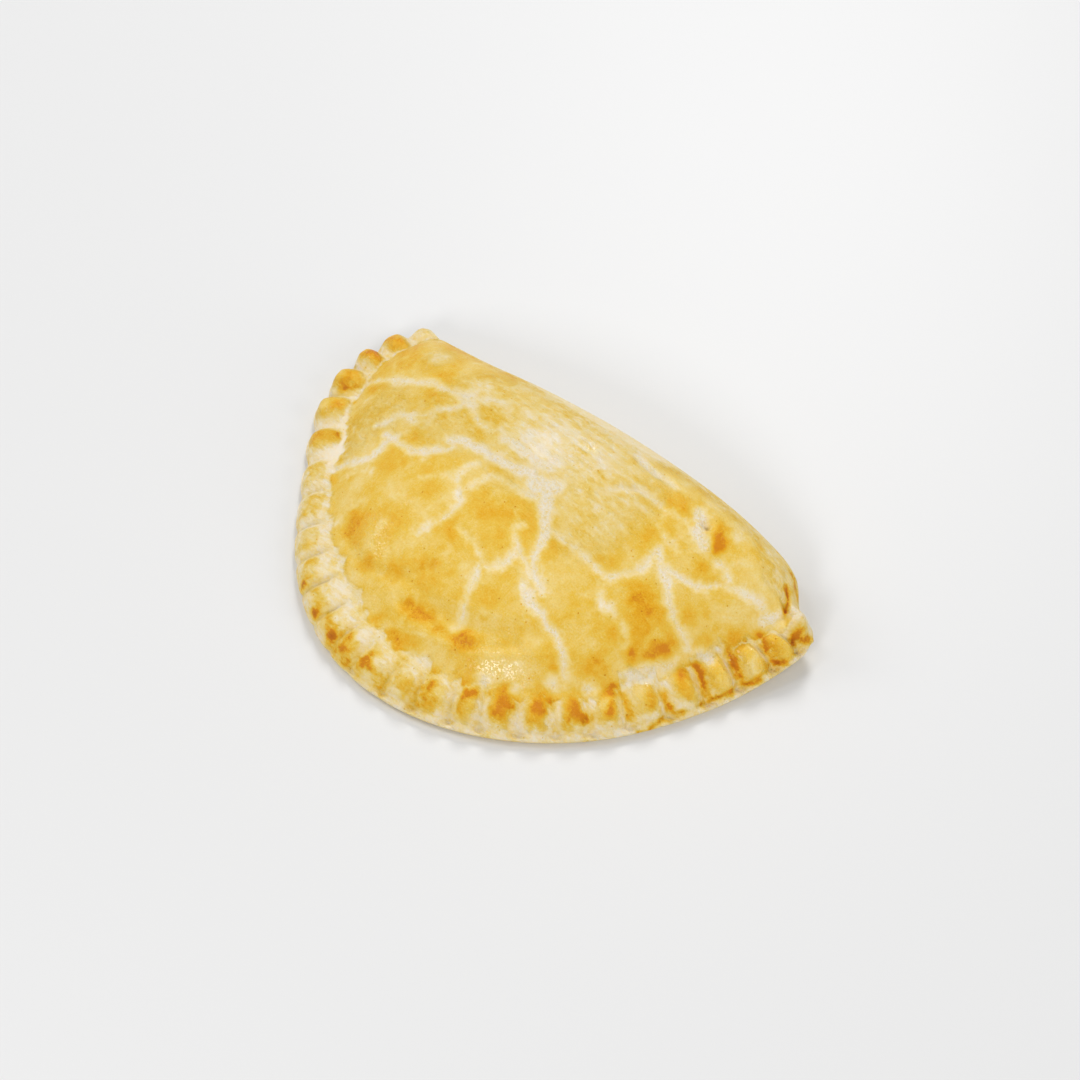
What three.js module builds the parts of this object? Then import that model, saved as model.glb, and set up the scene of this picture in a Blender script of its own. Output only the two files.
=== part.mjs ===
// A baked pasty: a half-moon of pastry folded over its filling and crimped along the round side.
// It is one solid. The straight fold runs along X on the +Y side and the crimped rim faces -Y.
import * as THREE from 'three';

// Overall sizes, in millimetres.
const HALF_LENGTH = 86;
const RIM_REACH = 105;
const HEIGHT = 38;

// The rim outline is half an ellipse that swells near the left tip and at the front, and is flatter
// near the right tip. Angles run from the left tip, 0, to the right tip, pi. Shares are of the radius.
const SWELLS = [
  { share: 0.133, at: 0.22, spread: 0.35 },
  { share: 0.012, at: 1.5, spread: 0.55 },
  { share: -0.016, at: 2.8, spread: 0.28 },
];
const TIP_SHARPNESS = 7;

// The fold bows out a little past the line between the tips, most towards the right tip.
// Beside that tip it is drawn in, by a share of the bow at a share of the half length.
const FOLD_BOW = 6.8;
const FOLD_LEAN = 1.6;
const FOLD_POWER = 4.1;
const FOLD_NOTCH = { share: 0.8, at: 0.9, spread: 0.08 };

// The rim, where the two layers of pastry are pressed together, slopes down to its edge.
// It is narrower along the left side and at the right tip.
const RIM_WIDTH = 13;
const RIM_NARROWINGS = [
  { loss: 3, at: 0.15, spread: 0.35 },
  { loss: 2.5, at: 0.85, spread: 0.3 },
  { loss: 3, at: Math.PI, spread: 0.28 },
];
const RIM_THICKNESS = 8.5;
const RIM_SLOPE = 3;
const EDGE_ROUND = 5;

// The lower layer shows as a lip under the crimps. It comes out along the rim, towards the right.
const LIP = { least: 0.4, most: 2.4, start: 130, fade: 50 };

// The dome over the filling. The fold is widest at a share of the height, its waist.
const DOME_POWER = 1.8;
const DOME_ROOT = { sides: 1.6, front: 1.3 };
const DOME_FOOT = 0.08;
const WAIST = 0.36;
const FOLD_ROUND = 0.8;
const RIM_FOOT_ROUND = 3;
const FOLD_FOOT_ROUND = 11;
const MIDDLE = { x: 3, y: -45 };

// The tips curl up off the surface that the pasty lies on.
const TIP_LIFT = 4.5;
const TIP_LIFT_REACH = 38;
const TIP_BLEND = 12;
const TIP_TURN = 30;

// The corner at the right tip is rounded off, by a depth that dies out within a reach.
const TIP_ROUND = { depth: 2.6, reach: 5 };

// Grooves between the finger crimps, by distance along the rim from the left tip.
// Only a part of a crimp fits before the first groove and after the last.
const GROOVES = [
  7.7, 19, 29, 42.4, 56.6, 70.2, 83.9, 97.5, 110, 122, 134, 144.7, 154.4,
  167.5, 178.3, 190.2, 199.3, 210.7, 222, 232.8, 244.2, 256.7, 268.7, 279.5, 292, 301.6,
];
const FIRST_PART = 0.6;
const LAST_PART = 0.45;
const CRIMP_FILL = 0.7;

// A plain crimp: its rise and fall as shares of its pitch, the mean of its back as a share of its depth,
// its depth, edge scallop and overlap, and where across the rim it is full, fades and ends, as shares.
const PLAIN_CRIMP = {
  rise: 0.36, fall: 0.36, mean: 0.55, depth: 1.5, scallop: 0.6, overlap: 0, full: 0.2, fade: 0.5, end: 1.15,
};

// How crimps differ from it by distance along the rim: round knuckles at the left tip, then shingles
// that overlap, flutes at the front and deep pillows towards the right tip.
const CRIMP_CHANGES = [
  { size: 'mean', gain: -0.5, at: 30, spread: 35 },
  { size: 'depth', gain: 2, at: 35, spread: 38 },
  { size: 'scallop', gain: 1.7, at: 35, spread: 38 },
  { size: 'fall', gain: 0.16, at: 40, spread: 45 },
  { size: 'rise', gain: -0.1, at: 115, spread: 34 },
  { size: 'fall', gain: -0.21, at: 115, spread: 34 },
  { size: 'depth', gain: -0.3, at: 115, spread: 34 },
  { size: 'overlap', gain: 1.4, at: 118, spread: 38 },
  { size: 'scallop', gain: 0.2, at: 200, spread: 35 },
  { size: 'depth', gain: 1.1, at: 205, spread: 40 },
  { size: 'scallop', gain: 1.1, at: 276, spread: 34 },
  { size: 'depth', gain: 2.4, at: 282, spread: 34 },
  { size: 'rise', gain: 0.12, at: 285, spread: 40 },
  { size: 'full', gain: 0.1, at: 285, spread: 40 },
  { size: 'fade', gain: 0.15, at: 285, spread: 40 },
  { size: 'end', gain: -0.1, at: 285, spread: 40 },
];

// A roll of pastry at the front of the dome's foot, with a crease above it.
const FOOT_ROLL = { height: 1.2, inset: 21, width: 3, at: 185, spread: 32 };
const FOOT_CREASE = { height: -1.6, inset: 27, width: 2.4, at: 185, spread: 32 };

// Swellings of the crust: a bulge at the left of the front and a lobe at the right tip.
const SWELLINGS = [
  { height: 0.9, x: -22.3, y: -74.4, radius: 12 },
  { height: 3.4, x: 79.5, y: -3.5, radius: 5 },
];

// Mesh steps.
const EDGE_RINGS = 4;
const RIM_RINGS = 5;
const DOME_RINGS = 11;
const FOOT_RINGS = 3;
const BASE_RINGS = [0.3, 0.6];
const CRIMP_STEPS = [0, 0.12, 0.3, 0.48, 0.66, 0.85];
const FOLD_STATIONS = 42;
const OUTLINE_SAMPLES = 3000;
const ANGLE_STEP = 0.08;
const BEND_LENGTH = 24;

const BAKED_CRUST = new THREE.MeshStandardMaterial({ color: 0xe3b765, roughness: 0.55, metalness: 0 });

const mix = (a, b, t) => a + (b - a) * t;
const bell = (value, at, spread) => Math.exp(-(((value - at) / spread) ** 2));
const bump = (feature, along) => bell(along, feature.at, feature.spread);
const smooth = (t) => THREE.MathUtils.smoothstep(t, 0, 1);
const quarterRound = (t) => Math.sqrt(1 - (1 - THREE.MathUtils.clamp(t, 0, 1)) ** 2);

// Reach of the rim at an angle, as a multiple of the plain ellipse's.
function swell(angle) {
  const share = SWELLS.reduce((sum, s) => sum + s.share * bump(s, angle), 0);
  return 1 + share * (1 - Math.exp(-TIP_SHARPNESS * Math.max(0, Math.sin(angle))));
}

function rimWidth(angle) {
  return RIM_NARROWINGS.reduce((width, n) => width - n.loss * bump(n, angle), RIM_WIDTH);
}

function rimPoint(angle) {
  const reach = swell(angle);
  return new THREE.Vector2(-HALF_LENGTH * reach * Math.cos(angle), -RIM_REACH * reach * Math.sin(angle));
}

function foldEdge(x) {
  const along = THREE.MathUtils.clamp(x / HALF_LENGTH, -1, 1);
  const bow = FOLD_BOW * (1 - Math.abs(along) ** FOLD_POWER) * (1 + FOLD_LEAN * along);
  return bow * (1 - FOLD_NOTCH.share * bump(FOLD_NOTCH, along));
}

function tipDistance(x, y) {
  return Math.min(Math.hypot(x + HALF_LENGTH, y), Math.hypot(x - HALF_LENGTH, y));
}

function tipLift(x, y) {
  return TIP_LIFT * (1 - smooth(tipDistance(x, y) / TIP_LIFT_REACH));
}

// How far the lip has come out at a distance along the rim, from 0 to 1, and its width there.
const lipShare = (along) => smooth((along - LIP.start) / LIP.fade);
const lipWidth = (along) => mix(LIP.least, LIP.most, lipShare(along));

// Angle of a point about the middle of the line between the tips, measured on the plain ellipse.
function ellipseAngle(x, y) {
  const angle = Math.atan2(-y / RIM_REACH, -x / HALF_LENGTH);
  return angle < -Math.PI / 2 ? angle + 2 * Math.PI : angle;
}

// Thickness of the pasty before its edges are rounded: the rim, and the dome rising from it, eased at
// its foot. Also returns how far the point is from the rim's edge.
function fullness(x, y) {
  const angle = ellipseAngle(x, y);
  const share = Math.hypot(x / HALF_LENGTH, y / RIM_REACH) / swell(angle);
  const radius = Math.hypot(HALF_LENGTH * Math.cos(angle), RIM_REACH * Math.sin(angle)) * swell(angle);
  const inset = radius * (1 - share);
  const width = rimWidth(angle);
  const climb = THREE.MathUtils.clamp(share / (1 - width / radius), 0, 1);
  const root = mix(DOME_ROOT.sides, DOME_ROOT.front, Math.sin(angle) ** 2);
  const bare = 1 - climb ** DOME_POWER;
  const dome = ((bare * bare * (1 + DOME_FOOT)) / (bare + DOME_FOOT)) ** (1 / root);
  const slope = RIM_SLOPE * THREE.MathUtils.clamp(1 - inset / width, 0, 1);
  return { inset, height: RIM_THICKNESS - slope + (HEIGHT - RIM_THICKNESS) * dome };
}

// The number of crimps passed at a distance along a rim, given the rim's whole length.
function crimpsPassed(along, length) {
  const marks = [0, ...GROOVES, length];
  const counts = [-FIRST_PART, ...GROOVES.keys(), GROOVES.length - 1 + LAST_PART];
  const next = Math.max(1, marks.findIndex((mark) => mark >= along));
  const share = (along - marks[next - 1]) / (marks[next] - marks[next - 1]);
  return mix(counts[next - 1], counts[next], share);
}

// The rim sampled finely: distance along it and the number of crimps passed, at each angle.
function measureRim() {
  const samples = [{ angle: 0, along: 0 }];
  let last = rimPoint(0);
  for (let i = 1; i <= OUTLINE_SAMPLES; i++) {
    const angle = (Math.PI * i) / OUTLINE_SAMPLES;
    const point = rimPoint(angle);
    samples.push({ angle, along: samples[i - 1].along + point.distanceTo(last) });
    last = point;
  }
  const length = samples[OUTLINE_SAMPLES].along;
  return samples.map((sample) => ({ ...sample, crimps: crimpsPassed(sample.along, length) }));
}

// One of a crimp's sizes at a distance along the rim.
function crimpSize(size, along) {
  const changes = CRIMP_CHANGES.filter((change) => change.size === size);
  return changes.reduce((sum, change) => sum + change.gain * bump(change, along), PLAIN_CRIMP[size]);
}

// How far into its crimp a place on the rim is, from 0 to 1.
const crimpPhase = (crimps) => crimps - Math.floor(crimps);

// Height of a crimp's back against its mean, as a share of its depth: eased up from one groove and down
// to the next, and filled out by a power below 1.
function crimpBack(crimps, along) {
  const phase = crimpPhase(crimps);
  const rise = smooth(phase / crimpSize('rise', along));
  const fall = smooth((1 - phase) / crimpSize('fall', along));
  return (rise * fall) ** CRIMP_FILL - crimpSize('mean', along);
}

// A station is a point on the outline, with the way to the middle, the way straight in from the edge,
// the rim's width and its lip's, and how far its crimp stands out from the outline.
function makeStation(edge, rim, sample, straightIn, scallop = 0) {
  const toMiddle = new THREE.Vector2(MIDDLE.x, MIDDLE.y).sub(edge);
  const reach = toMiddle.length();
  toMiddle.normalize();
  const width = rimWidth(ellipseAngle(edge.x, edge.y));
  const lip = mix(LIP.least, lipWidth(sample.along), rim);
  return { edge, rim, reach, toMiddle, straightIn: straightIn ?? toMiddle, scallop, width, lip, ...sample };
}

// Straight in from the rim, square to its edge, turning to the middle close to the tips.
function squareToRim(sample, edge) {
  const along = rimPoint(sample.angle + ANGLE_STEP).sub(rimPoint(sample.angle - ANGLE_STEP)).normalize();
  const square = new THREE.Vector2(-along.y, along.x);
  const toMiddle = new THREE.Vector2(MIDDLE.x, MIDDLE.y).sub(edge).normalize();
  return toMiddle.lerp(square, smooth(tipDistance(edge.x, edge.y) / TIP_TURN)).normalize();
}

function rimStations(samples) {
  const total = samples[OUTLINE_SAMPLES];
  const stations = [];
  let i = 0;
  for (let crimp = Math.floor(-FIRST_PART); crimp <= total.crimps; crimp++) {
    for (const step of CRIMP_STEPS) {
      const wanted = crimp + step;
      if (wanted < -FIRST_PART || wanted > total.crimps) continue;
      while (samples[i].crimps < wanted) i++;
      const sample = samples[i];
      const edge = rimPoint(sample.angle);
      const straightIn = squareToRim(sample, edge);
      const endFade = smooth(tipDistance(edge.x, edge.y) / EDGE_ROUND);
      const scallop = endFade * crimpSize('scallop', sample.along) * crimpBack(sample.crimps, sample.along);
      stations.push(makeStation(edge, 1, sample, straightIn, scallop));
    }
  }
  return stations;
}

function foldStations(samples) {
  const stations = [];
  for (let i = 0; i <= FOLD_STATIONS; i++) {
    const x = HALF_LENGTH * Math.cos((Math.PI * i) / FOLD_STATIONS);
    const edge = new THREE.Vector2(x, foldEdge(x));
    const rim = 1 - smooth(tipDistance(edge.x, edge.y) / TIP_BLEND);
    stations.push(makeStation(edge, rim, samples[x > 0 ? OUTLINE_SAMPLES : 0]));
  }
  return stations;
}

// The plan point at a distance in from a station's edge: straight in across the rim, then to the middle.
// The scallop dies out across the rim. Where there is a lip, only what lies over it is scalloped.
function planPoint(station, edgeInset, overLip) {
  const { edge, straightIn, toMiddle, scallop, width, along } = station;
  const way = straightIn.clone().lerp(toMiddle, smooth((edgeInset - width) / BEND_LENGTH));
  const share = mix(1, overLip, lipShare(along)) * (1 - smooth(edgeInset / width));
  return edge.clone().addScaledVector(way, edgeInset - scallop * share);
}

// A plan point with the right tip's corner drawn in along its diagonal.
function roundTip(x, y) {
  const fade = bell(Math.hypot(x - HALF_LENGTH, y), 0, TIP_ROUND.reach);
  const draw = TIP_ROUND.depth * fade * Math.SQRT1_2;
  return new THREE.Vector2(x - draw, y - draw);
}

// Distance in from the outline of one ring of the top: the lip's edge, then close together at the
// crimps' round ends, even along the rim and up the dome to the middle.
function ringInset(station, ring) {
  const quarter = (part) => 1 - Math.cos((Math.PI / 2) * part);
  const { lip } = station;
  if (ring === 0) return 0;
  const edgeRing = ring - 1;
  if (edgeRing <= EDGE_RINGS) return lip + EDGE_ROUND * quarter(edgeRing / EDGE_RINGS);
  const rimRing = edgeRing - EDGE_RINGS;
  if (rimRing <= RIM_RINGS) return mix(lip + EDGE_ROUND, station.width, rimRing / RIM_RINGS);
  return mix(station.width, station.reach, quarter((rimRing - RIM_RINGS) / DOME_RINGS));
}

// Height of the crimps, the foot roll and its crease above the plain crust.
function relief(station, edgeInset, rimInset) {
  const { along, crimps, width } = station;
  const across = edgeInset / width;
  const fade = crimpSize('fade', along);
  const fadeIn = smooth(across / crimpSize('full', along));
  const fadeOut = 1 - smooth((across - fade) / (crimpSize('end', along) - fade));
  const back = crimpSize('depth', along) * crimpBack(crimps, along);
  const climb = crimpSize('overlap', along) * (crimpPhase(crimps) - 1 / 2);
  let height = fadeIn * fadeOut * (back + climb);
  for (const fold of [FOOT_ROLL, FOOT_CREASE]) {
    height += fold.height * bump(fold, along) * bell(rimInset, fold.inset, fold.width);
  }
  return height * station.rim;
}

// Height of the swellings at a plan point.
function swelling(x, y) {
  return SWELLINGS.reduce((sum, s) => sum + s.height * bell(Math.hypot(x - s.x, y - s.y), 0, s.radius), 0);
}

// One point of the top, at a distance in from the station's edge.
function topPoint(station, edgeInset) {
  const { x, y } = planPoint(station, edgeInset, smooth(edgeInset / station.lip));
  const { inset, height } = fullness(x, y);
  const foldRound = quarterRound((foldEdge(x) - y) / (FOLD_ROUND * height));
  const edgeRound = mix(1, quarterRound((edgeInset - station.lip) / EDGE_ROUND), station.rim);
  const z = height * mix(WAIST, 1, foldRound * edgeRound) + swelling(x, y) * foldRound * edgeRound;
  const plan = roundTip(x, y);
  return new THREE.Vector3(plan.x, plan.y, z + tipLift(x, y) + relief(station, edgeInset, inset));
}

// One point of the rounded foot under the edge, or of the base, at a distance in from the edge.
function underPoint(station, edgeInset, z) {
  const { x, y } = planPoint(station, edgeInset, 0);
  const plan = roundTip(x, y);
  return new THREE.Vector3(plan.x, plan.y, z + tipLift(x, y));
}

// A line of points from beside the middle of the top, over the edge, to the inner ring of the base.
function stationProfile(station) {
  const profile = [];
  const topRings = 1 + EDGE_RINGS + RIM_RINGS + DOME_RINGS;
  for (let ring = topRings - 1; ring >= 0; ring--) {
    profile.push(topPoint(station, ringInset(station, ring)));
  }
  const edge = profile[profile.length - 1];
  const edgeHeight = edge.z - tipLift(edge.x, edge.y);
  const footRound = mix(FOLD_FOOT_ROUND, RIM_FOOT_ROUND, station.rim);
  for (let ring = 1; ring <= FOOT_RINGS; ring++) {
    const turn = ((Math.PI / 2) * ring) / FOOT_RINGS;
    const inset = footRound * (1 - Math.cos(turn));
    profile.push(underPoint(station, inset, edgeHeight * (1 - Math.sin(turn))));
  }
  for (const part of BASE_RINGS) {
    profile.push(underPoint(station, mix(footRound, station.reach, part), 0));
  }
  return profile;
}

// The closed surface: a grid of station lines, closed at the middle of the top and of the base.
function pastyGeometry() {
  const samples = measureRim();
  const stations = [...rimStations(samples), ...foldStations(samples)];
  const profiles = stations.map(stationProfile);
  const rings = profiles[0].length;
  const points = profiles.flat();
  const topMiddle = points.length;
  points.push(topPoint(stations[0], stations[0].reach));
  const baseMiddle = points.length;
  points.push(new THREE.Vector3(MIDDLE.x, MIDDLE.y, 0));

  const triangles = [];
  stations.forEach((_, i) => {
    const here = i * rings;
    const next = ((i + 1) % stations.length) * rings;
    triangles.push(topMiddle, here, next);
    for (let ring = 0; ring < rings - 1; ring++) {
      triangles.push(here + ring, here + ring + 1, next + ring + 1);
      triangles.push(here + ring, next + ring + 1, next + ring);
    }
    triangles.push(here + rings - 1, baseMiddle, next + rings - 1);
  });

  const geometry = new THREE.BufferGeometry().setFromPoints(points);
  geometry.setIndex(triangles);
  geometry.computeBoundingBox();
  const middle = geometry.boundingBox.getCenter(new THREE.Vector3());
  geometry.translate(-middle.x, -middle.y, -geometry.boundingBox.min.z);
  geometry.computeVertexNormals();
  return geometry;
}

const pasty = new THREE.Mesh(pastyGeometry(), BAKED_CRUST);
pasty.name = 'pasty';

const part = new THREE.Group();
part.add(pasty);

export default part;
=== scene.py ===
"""A baked pasty: a half-moon of pastry folded over its filling, crimped along its round side.

Lengths are in metres. X runs along the fold, the fold faces +Y and the crimped rim faces -Y.
"""
import math
from typing import NamedTuple

import bpy
import numpy as np
from bpy.props import FloatProperty, FloatVectorProperty, PointerProperty
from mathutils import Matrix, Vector


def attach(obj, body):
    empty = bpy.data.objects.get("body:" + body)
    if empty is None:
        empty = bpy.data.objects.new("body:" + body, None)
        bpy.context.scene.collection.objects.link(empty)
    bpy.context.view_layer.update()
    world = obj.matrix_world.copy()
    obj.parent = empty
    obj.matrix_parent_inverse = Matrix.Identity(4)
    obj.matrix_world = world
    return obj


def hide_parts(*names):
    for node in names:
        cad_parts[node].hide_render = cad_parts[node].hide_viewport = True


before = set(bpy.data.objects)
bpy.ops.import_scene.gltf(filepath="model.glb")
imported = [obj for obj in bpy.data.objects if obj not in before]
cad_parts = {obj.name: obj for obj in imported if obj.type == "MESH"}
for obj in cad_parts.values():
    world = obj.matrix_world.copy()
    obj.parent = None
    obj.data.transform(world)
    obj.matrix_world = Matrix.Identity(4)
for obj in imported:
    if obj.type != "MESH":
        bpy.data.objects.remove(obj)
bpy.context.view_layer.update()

MM = 0.001

bl_info = {
    "name": "Baked Pasty",
    "version": (1, 0, 0),
    "blender": (4, 5, 0),
    "location": "View3D > Sidebar > Pasty",
    "description": "Builds a crimped, egg-washed pasty over its solid, with a plain stage",
    "category": "Add Mesh",
}


class Bell(NamedTuple):
    """A smooth bump: its size at the middle, where the middle is, and how far it spreads."""

    size: float
    at: float
    spread: float

    def __call__(self, value):
        return self.size * bell(value, self.at, self.spread)


class Along(NamedTuple):
    """A size along the rim: a plain value and bells, with their places and spreads in millimetres."""

    plain: float
    bumps: list

    def __call__(self, along):
        return self.plain + sum(size * bell(along, at * MM, spread * MM) for size, at, spread in self.bumps)


def bell(value, at, spread):
    return np.exp(-(((value - at) / spread) ** 2))


def mix(low, high, share):
    return low + (high - low) * share


def smooth(share):
    """Eases from 0 to 1: three times the square less twice the cube."""
    share = np.clip(share, 0, 1)
    return share * share * (3 - 2 * share)


def quarter_round(share):
    """Height of a quarter circle of radius 1 at a share of the way in from its edge."""
    return np.sqrt(1 - (1 - np.clip(share, 0, 1)) ** 2)


def srgb(red, green, blue):
    """A screen colour in steps of 255 as linear light."""
    return tuple(((part / 255 + 0.055) / 1.055) ** 2.4 for part in (red, green, blue))


# The outline swells near the left tip and at the front, by angle from the left tip to the right one
SWELLS = [Bell(0.133, 0.22, 0.35), Bell(0.012, 1.5, 0.55), Bell(-0.016, 2.8, 0.28)]
TIP_SHARPNESS = 7
FOLD_LEAN = 1.6
FOLD_POWER = 4.1
FOLD_NOTCH = Bell(0.8, 0.9, 0.08)

# The rim is narrower along the left knuckles and at the right tip
RIM_NARROWINGS = [Bell(3 * MM, 0.15, 0.35), Bell(2.5 * MM, 0.85, 0.3), Bell(3 * MM, math.pi, 0.28)]
RIM_SLOPE = 3 * MM
EDGE_ROUND = 5 * MM

# The lower layer of pastry shows as a lip under the crimps, more at the front and the right
LIP_LEAST = 0.4 * MM
LIP_MOST = 2.4 * MM
LIP_START = 130 * MM
LIP_FADE = 50 * MM

# The dome over the filling
DOME_POWER = 1.8
DOME_ROOT_SIDES = 1.6
DOME_ROOT_FRONT = 1.3
DOME_FOOT = 0.08
WAIST = 0.36
FOLD_ROUND = 0.8
RIM_FOOT_ROUND = 3 * MM
FOLD_FOOT_ROUND = 11 * MM
MIDDLE = (3 * MM, -45 * MM)

# The tips curl up, and the lines of the grid turn towards the middle close to them
TIP_LIFT_REACH = 38 * MM
TIP_BLEND = 12 * MM
TIP_TURN = 30 * MM
TIP_ROUND = Bell(2.6 * MM, 0, 5 * MM)
BEND_LENGTH = 24 * MM
ANGLE_STEP = 0.08

# Grooves between the finger crimps, in millimetres along the rim from the left tip
GROOVES = [
    7.7, 19, 29, 42.4, 56.6, 70.2, 83.9, 97.5, 110, 122, 134, 144.7, 154.4,
    167.5, 178.3, 190.2, 199.3, 210.7, 222, 232.8, 244.2, 256.7, 268.7, 279.5, 292, 301.6,
]
FIRST_PART = 0.6
LAST_PART = 0.45

# The crimps by distance along the rim: their rise, fall and mean as shares of their pitch and depth
CRIMP_FILL = 0.7
CRIMP_MEAN = Along(0.55, [(-0.5, 30, 35)])
CRIMP_RISE = Along(0.36, [(-0.1, 115, 34), (0.12, 285, 40)])
CRIMP_FALL = Along(0.36, [(0.16, 40, 45), (-0.21, 115, 34)])

# Their depth, edge scallop and overlap
CRIMP_DEPTH = Along(
    1.5 * MM, [(2 * MM, 35, 38), (-0.3 * MM, 115, 34), (1.1 * MM, 205, 40), (2.4 * MM, 282, 34)]
)
CRIMP_SCALLOP = Along(0.6 * MM, [(1.7 * MM, 35, 38), (0.2 * MM, 200, 35), (1.1 * MM, 276, 34)])
CRIMP_OVERLAP = Bell(1.4 * MM, 118 * MM, 38 * MM)

# Where they come to their full height and fade out, as shares of the rim's width
CRIMP_FULL = Along(0.2, [(0.1, 285, 40)])
CRIMP_FADE = Along(0.5, [(0.15, 285, 40)])
CRIMP_END = Along(1.15, [(-0.1, 285, 40)])

# A roll of pastry at the front of the dome's foot, with a crease above it
FOOT_ALONG = Bell(1, 185 * MM, 32 * MM)
FOOT_ROLL = Bell(1.2 * MM, 21 * MM, 3 * MM)
FOOT_CREASE = Bell(-1.6 * MM, 27 * MM, 2.4 * MM)

# Steps of the grid, and how far they close up at the ends of the fold and at the dome's foot
RIM_SAMPLES = 3001
RIM_STATIONS = 630
FOLD_STATIONS = 150
LIP_RINGS = 3
EDGE_RINGS = 9
RIM_RINGS = 16
DOME_RINGS = 84
FOOT_RINGS = 6
BASE_RINGS = 5
FOLD_CLOSING = 0.4
DOME_CLOSING = 0.5
LATTICE = 97

# The picture that places are read in, in pixels across and down, and what its camera aims at
PICTURE_SIDE = 1080
SENSOR = 36 * MM
AIM = Vector((11.13 * MM, 9.16 * MM, 14.56 * MM))
CARRY_REACH = 5

# The floor lies a hair under the base, so that the two never share a plane
FLOOR_GAP = 0.1 * MM
FLOOR_SIDE = 4
WORLD_LIGHT = 0.32
WHITE = (1, 1, 1, 1)

# Lamps: metres to the right of the picture, away from the camera and up, side and power
LAMPS = [
    ("back_key", 0.18, 0.8, 0.72, 0.3, 4.6),
    ("front_fill", -0.35, -0.75, 0.55, 0.24, 3.1),
    ("left_fill", -0.75, 0.33, 0.57, 0.4, 1.9),
    ("right_fill", 0.75, -0.45, 0.45, 0.5, 2.8),
    ("top_fill", -0.4, 0.1, 0.9, 0.22, 1),
]


class Crimp(NamedTuple):
    """How one crimp baked: egg wash and browning on its back, the place and spread of its browning, as
    shares of its pitch, and the bare band behind it, as shares of the rim's width."""

    gold: float
    brown: float
    side: float
    spread: float
    bare_from: float
    bare_to: float


# Every crimp from the corner at the left tip to the lobe at the right one
CRIMPS = [Crimp(*row) for row in (
    (0.45, 0.1, 0.5, 0.3, 0.3, 0.7), (0.95, 0.4, 0.45, 0.3, 0.85, 0.9), (0.95, 0.5, 0.42, 0.3, 0.85, 0.9),
    (0.95, 0.4, 0.4, 0.3, 0.85, 0.9), (0.95, 0.3, 0.4, 0.28, 0.8, 0.88), (0.9, 0.2, 0.38, 0.25, 0.8, 0.9),
    (0.62, 0.1, 0.3, 0.2, 0.7, 0.85), (0.6, 0.1, 0.3, 0.2, 0.65, 0.85), (0.6, 0.1, 0.7, 0.2, 0.6, 0.95),
    (0.55, 0.1, 0.85, 0.12, 0.44, 1), (0.55, 0.2, 0.9, 0.12, 0.42, 1.02), (0.55, 0.2, 0.2, 0.16, 0.48, 1),
    (0.6, 0.2, 0.2, 0.16, 0.45, 0.92), (0.62, 0.2, 0.2, 0.16, 0.48, 0.92),
    (0.65, 0.2, 0.2, 0.18, 0.55, 0.92), (0.7, 0.2, 0.22, 0.2, 0.7, 0.85), (0.75, 0.2, 0.3, 0.2, 0.8, 0.8),
    (0.85, 0.2, 0.5, 0.18, 0.9, 0.7), (0.85, 0.2, 0.5, 0.22, 0.9, 0.7), (0.85, 0.2, 0.5, 0.2, 0.9, 0.7),
    (0.9, 0.2, 0.55, 0.18, 0.9, 0.75), (0.85, 0.2, 0.6, 0.16, 0.85, 0.95),
    # The three crimps before the lobe are brown in their grooves: partly baked wash, partly painted shade
    (0.9, 0.2, 0.5, 0.18, 0.9, 0.8), (0.95, 0.8, 0.08, 0.14, 0.9, 0.9),
    (0.95, 0.8, 0.09, 0.14, 0.92, 0.95), (0.95, 0.8, 0.09, 0.14, 0.92, 0.95),
    (0.3, 0.2, 0, 0.08, 0.5, 0.7),
)]

# How wash and browning lie across the rim, as shares of its width, with an edge that wanders
BROWN_ACROSS = Bell(1, 0.62, 0.4)
PAD_START = Along(0.02, [(0.13, 218, 42)])
PAD_FADE = 0.22
WASH_FADE = 0.25
EDGE_WANDER = [(6 * MM, 5, 0.12), (2.5 * MM, 7, 0.06)]
RIM_WASH = 0.39

# The fold, the lip and the crimps' outer ends
FOLD_WASH = 0.45
FOLD_BAKE = 0.45
FOLD_BARE = 7 * MM
FOLD_FADE = 8 * MM
LIP_BROWN = Bell(0.6, 275 * MM, 35 * MM)
LIP_RIPPLE = [(9 * MM, 6, 1)]
EDGE_BROWN = Bell(0.8, 150 * MM, 45 * MM)
EDGE_BROWN_ACROSS = Bell(1, 0.3, 0.2)
LIP_LINE = 0.15 * MM


class Stroke(NamedTuple):
    """A stroke on the crust: its strength, half its width in millimetres and the pixels it runs through."""

    amount: float
    half_width: float
    route: list


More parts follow.
